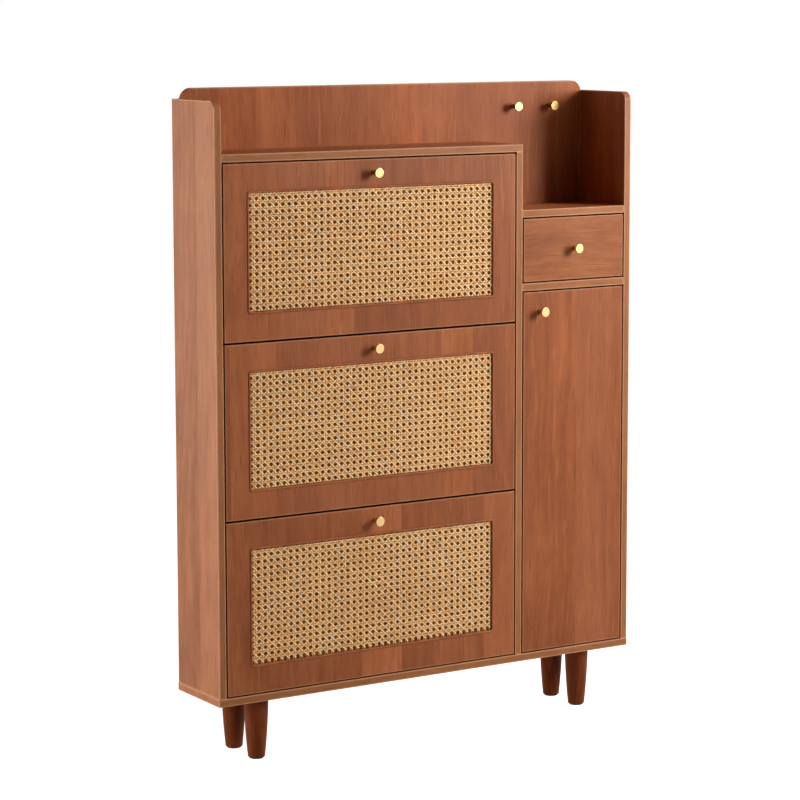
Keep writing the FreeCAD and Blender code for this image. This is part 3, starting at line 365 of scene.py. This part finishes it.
def brass(name, dark, light):
    """Satin brass between two tones, with fine turning marks and slightly darker patches."""
    g = Graph(name)
    place = g.object_coords()
    patches = g.noise(place, 500, detail=3)
    colour = g.ramp(patches, [(0.3, dark), (0.7, light)])
    marks = g.noise(g.mapping(place, scale=(1, 0.2, 1)), 2600, detail=2)
    rough = g.math("ADD", g.math("MULTIPLY", patches, 0.12), 0.26)
    g.surface(colour, roughness=rough, normal=g.bump(marks, 0.25, 0.03 * MM), metallic=1.0)
    return g.material


def metal(name, light, roughness):
    """Plated or cast metal with a faint mottle."""
    g = Graph(name)
    mottle = g.noise(g.object_coords(), 300, detail=3)
    colour = g.ramp(mottle, [(0.3, (light * 0.85,) * 3), (0.7, (light,) * 3)])
    rough = g.math("ADD", g.math("MULTIPLY", mottle, 0.2), roughness - 0.1)
    g.surface(colour, roughness=rough, normal=g.bump(mottle, 0.15, 0.05 * MM), metallic=1.0)
    return g.material


def plastic(name, colour, roughness):
    """Moulded plastic with a fine grain."""
    g = Graph(name)
    grain = g.noise(g.object_coords(), 900, detail=2)
    darker = tuple(c * 0.85 for c in colour)
    tint = g.ramp(grain, [(0.35, darker), (0.65, colour)])
    g.surface(tint, roughness=roughness, normal=g.bump(grain, 0.2, 0.05 * MM))
    return g.material


def cane_fibre():
    """Peeled cane: pale tan, each strand a little different, glossy on its skin side."""
    g = Graph("cane_fibre")
    place = g.object_coords()
    # each strand's tone: a random spread, with the pairs painted darker as shade and the diagonals paler as
    # highlight
    shade = g.add("Attribute", attribute_name="strand_shade").outputs["Fac"]
    patches = g.noise(place, 240, detail=2)
    streaks = g.noise(place, 900, detail=2)
    tone = g.math("ADD", g.math("MULTIPLY", shade, 0.4), 0.25)
    tone = g.math("ADD", tone, g.math("MULTIPLY", g.math("SUBTRACT", patches, 0.5), 0.9))
    tone = g.math("ADD", tone, g.math("MULTIPLY", g.math("SUBTRACT", streaks, 0.5), 0.3))
    colour = g.ramp(tone, list(zip(CANE_PLACES, CANE_TONES)))
    g.surface(colour, roughness=0.42, normal=g.bump(streaks, 0.3, 0.08 * MM))
    return g.material


def paint(node, material):
    """Gives a CAD node one material in place of those that it came with."""
    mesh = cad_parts[node].data
    mesh.materials.clear()
    mesh.materials.append(material)


# ---- cane webbing ----
CANE_PITCH = (14.19 * MM, 12.90 * MM)
# first whole hole's centre, right of and below the sheet's top left corner
FIRST_HOLE = {
    "lower": (15.4 * MM, 12.0 * MM),
    "middle": (16.4 * MM, 10.6 * MM),
    "upper": (17.5 * MM, 10.5 * MM),
}
PAIR_SPACING = 3.9 * MM
STRAND_WIDTH = 2.05 * MM
DIAGONAL_WIDTH = 2.4 * MM
STRAND_THICKNESS = 0.80 * MM
LAYER = 0.55 * MM
PAIR_LIFT = LAYER * 0.9
DIAGONAL_LIFT = LAYER * 1.7
STRAND_JITTER = 0.12 * MM
STRAND_WIDTH_RANGE = (0.93, 1.05)        # share of the nominal width
PAIR_SHADE = 0.3                         # 0 is the darkest cane and 1 the palest; the pairs are set dark, a painted shade
DIAGONAL_SHADES = {1: 0.95, -1: 0.55}    # by slope: the diagonals falling to the right are set pale, a painted highlight, the others less so
SHADE_SPREAD = 0.25
STEPS_PER_CELL = 4
# a strand's section, round from one edge over its crown: place across the width, rise in thicknesses
STRAND_SECTION = ((-0.5, 0.0), (-0.2, 0.46), (0.2, 0.46), (0.5, 0.0), (0.0, -0.5))


def strand_mesh(paths, widths, shades, depth_axis_y):
    """Closed flat-oval tubes along paths of (x, z, lift) points; lift is towards the front."""
    vertices, faces, values = [], [], []
    for path, width, shade in zip(paths, widths, shades):
        path = np.asarray(path)
        direction = path[-1, :2] - path[0, :2]
        direction = direction / np.linalg.norm(direction)
        across = np.array((-direction[1], direction[0]))
        start = len(vertices)
        for x, z, lift in path:
            for side, rise in STRAND_SECTION:
                offset = across * side * width
                y = depth_axis_y - lift - rise * STRAND_THICKNESS
                vertices.append((x + offset[0], y, z + offset[1]))
                values.append(shade)
        ring = len(STRAND_SECTION)
        for i in range(len(path) - 1):
            a, b = start + i * ring, start + (i + 1) * ring
            for k in range(ring):
                faces.append((a + k, a + (k + 1) % ring, b + (k + 1) % ring, b + k))
        last = start + (len(path) - 1) * ring
        faces.append(tuple(start + k for k in reversed(range(ring))))
        faces.append(tuple(last + k for k in range(ring)))
    return vertices, faces, values


def woven_sheet(name, node, first_hole, seed):
    """Six-way cane: upright and level pairs, woven together, and two sets of diagonals."""
    low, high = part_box(node)
    pitch_x, pitch_z = CANE_PITCH
    mid_y = (low.y + high.y) / 2
    rng = random.Random(seed)
    corner_x = low.x + first_hole[0] - pitch_x / 2
    corner_z = high.z - first_hole[1] + pitch_z / 2
    margin = STRAND_WIDTH * 0.55
    paths, widths, shades = [], [], []

    def keep(path, width, shade=PAIR_SHADE):
        if len(path) > 2:
            paths.append(path)
            widths.append(width * rng.uniform(*STRAND_WIDTH_RANGE))
            shades.append(shade + rng.uniform(-SHADE_SPREAD, SHADE_SPREAD))

    def weave(along, phase):
        """Lift at a place along a pair: over one strand of the crossing pair and under the other."""
        near_crossing = math.exp(-((math.sin(math.pi * along)) ** 2) * 1.5)
        return phase * PAIR_LIFT * math.sin(2 * math.pi * along) * near_crossing

    columns = range(-1, int((high.x - low.x) / pitch_x) + 2)
    rows = range(-1, int((high.z - low.z) / pitch_z) + 2)
    z_samples = np.linspace(low.z, high.z, int((high.z - low.z) / pitch_z * STEPS_PER_CELL) + 1)
    x_samples = np.linspace(low.x, high.x, int((high.x - low.x) / pitch_x * STEPS_PER_CELL) + 1)
    for i in columns:
        for side in (-1, 1):
            jitter = rng.uniform(-STRAND_JITTER, STRAND_JITTER)
            x = corner_x + i * pitch_x + side * PAIR_SPACING / 2 + jitter
            if low.x + margin < x < high.x - margin:
                keep([(x, z, weave((z - corner_z) / pitch_z, side)) for z in z_samples], STRAND_WIDTH)
    for j in rows:
        for side in (-1, 1):
            jitter = rng.uniform(-STRAND_JITTER, STRAND_JITTER)
            z = corner_z - j * pitch_z + side * PAIR_SPACING / 2 + jitter
            if low.z + margin < z < high.z - margin:
                keep([(x, z, -weave((x - corner_x) / pitch_x, side)) for x in x_samples], STRAND_WIDTH)
    reach = len(columns) + len(rows) + 4
    for slope in (-1, 1):
        for n in range(-reach, reach):
            jitter = rng.uniform(-STRAND_JITTER, STRAND_JITTER)
            path = []
            for s in np.arange(-2, len(columns) + 2, 1.0 / STEPS_PER_CELL):
                x = corner_x + s * pitch_x + jitter
                z = corner_z - (s * slope + n + 0.5) * pitch_z
                if low.x < x < high.x and low.z < z < high.z:
                    path.append((x, z, slope * DIAGONAL_LIFT * math.cos(2 * math.pi * s)))
            keep(path, DIAGONAL_WIDTH, DIAGONAL_SHADES[slope])
    vertices, faces, values = strand_mesh(paths, widths, shades, mid_y)
    mesh = bpy.data.meshes.new(name)
    mesh.from_pydata(vertices, [], faces)
    shade = mesh.attributes.new("strand_shade", "FLOAT", "POINT")
    shade.data.foreach_set("value", np.asarray(values, np.float32))
    mesh.polygons.foreach_set("use_smooth", [True] * len(mesh.polygons))
    mesh.update()
    sheet = bpy.data.objects.new(name, mesh)
    bpy.context.scene.collection.objects.link(sheet)
    return sheet


# ---- build ----
bpy.context.scene.view_settings.view_transform = "Standard"
make_camera()
make_studio()
make_floor()

UPRIGHT_BOARDS = ("centre_divider", "upper_back_board", "flip_lower_front", "flip_middle_front",
                  "flip_upper_front", "door_panel")
LEVEL_BOARDS = ("bottom_board", "top_panel", "niche_shelf", "drawer_shelf", "adjustable_shelf_lower",
                "adjustable_shelf_upper")
FLIPS = ("lower", "middle", "upper")
AIR_BEHIND_CANE = 1.8 * MM
POCKET_FLOOR_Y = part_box("flip_upper_cane")[1].y + AIR_BEHIND_CANE
OUTER_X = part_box("right_side_panel")[1].x - 0.3 * MM      # just inside the side panels' outer faces
seed = 1                                 # each board has a seed, and so a piece of figure, of its own
for node in ("left_side_panel", "right_side_panel"):
    paint(node, wood(node + "_wood", seed, WALNUT, corners=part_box(node), edge_colours=WALNUT_EDGE,
                     outer_x=OUTER_X))
    seed += 1
for node in UPRIGHT_BOARDS:
    is_back = node == "upper_back_board"
    # the upper back board takes the redder walnut, a painted warm bounce light
    paint(node, wood(node + "_wood", seed, WALNUT_PAINTED_WARM_SHADE if is_back else WALNUT, corners=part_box(node),
                     edge_colours=WALNUT_EDGE if node == "centre_divider" else None,
                     pocket_y=POCKET_FLOOR_Y if node.startswith("flip_") else None,
                     specular=BACK_GLOSS if is_back else WOOD_GLOSS,
                     inset=node.startswith(("flip_", "door_"))))
    seed += 1
for node in LEVEL_BOARDS:
    paint(node, wood(node + "_wood", seed, WALNUT, "x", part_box(node), WALNUT_EDGE, outer_x=OUTER_X))
    seed += 1
# the drawer front takes the paler walnut, a painted sheen
paint("drawer_front", wood("drawer_front_wood", seed, WALNUT_PAINTED_SHEEN, "x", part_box("drawer_front"), inset=True))
rack_wood = wood("rack_wood", 31, WALNUT, "x", roughness=0.5)
drawer_box_wood = wood("drawer_box_wood", 33, WALNUT, "y", roughness=0.5)
bead_wood = wood("bead_wood", 35, WALNUT)
for flip in FLIPS:
    paint(f"flip_{flip}_bead", bead_wood)
    paint(f"flip_{flip}_rack_sides", wood(f"rack_side_{flip}_wood", 40 + len(flip), WALNUT, roughness=0.5))
    paint(f"flip_{flip}_rack_boards", rack_wood)
for node in ("drawer_sides", "drawer_back"):
    paint(node, drawer_box_wood)
for node in ("left_back_panel", "right_back_panel", "drawer_bottom"):
    paint(node, wood(node + "_hardboard", 50 + len(node), HARDBOARD, roughness=0.7))
for number, node in enumerate(("leg_front_left", "leg_front_right", "leg_rear_left", "leg_rear_right")):
    paint(node, wood(node + "_walnut", 60 + number, DARK_WALNUT, specular=LEG_GLOSS))
beech = wood("beech", 70, BEECH, "x", roughness=0.6)
for node in ("wooden_dowels", "drawer_runners"):
    paint(node, beech)

knob_brass = brass("satin_brass", *KNOB_TONES)
for node in ("flip_lower_knob", "flip_middle_knob", "flip_upper_knob", "drawer_knob", "door_knob"):
    paint(node, knob_brass)
# the hooks' darker brass is painted shade against a blown-out reflection of the key light
hook_brass_painted_shade = brass("hook_brass_painted_shade", *HOOK_TONES_PAINTED_SHADE)
for node in ("coat_hook_left", "coat_hook_right"):
    paint(node, hook_brass_painted_shade)
steel = metal("plated_steel", 0.62, 0.34)
for node in ("cam_bolts", "base_screws", "leg_hanger_bolts", "leg_threaded_inserts", "shelf_pins",
             "flip_stop_pins", "door_strike_plate"):
    paint(node, steel)
# near-black steel for the pivot pins: painted shade, so that the door pin in its gap shows no glint
pin_steel_painted_shade = metal("pin_steel_painted_shade", 0.06, 0.5)
for node in ("door_pivot_pins", "flip_lower_pivot_pins", "flip_middle_pivot_pins", "flip_upper_pivot_pins"):
    paint(node, pin_steel_painted_shade)
paint("cam_locks", metal("cast_zinc", 0.5, 0.5))
white_plastic = plastic("white_plastic", (0.75, 0.74, 0.70), 0.45)
paint("door_magnetic_catch", white_plastic)
black_plastic = plastic("black_plastic", (0.02, 0.02, 0.02), 0.6)
for node in ("pivot_bushes", "leg_glides"):
    paint(node, black_plastic)

fibre = cane_fibre()
for number, flip in enumerate(FLIPS):
    node = f"flip_{flip}_cane"
    sheet = woven_sheet(f"flip_{flip}_cane_weave", node, FIRST_HOLE[flip], 7 + number)
    sheet.data.materials.append(fibre)
    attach(sheet, f"flip_{flip}")
    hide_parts(node)

bpy.context.view_layer.update()
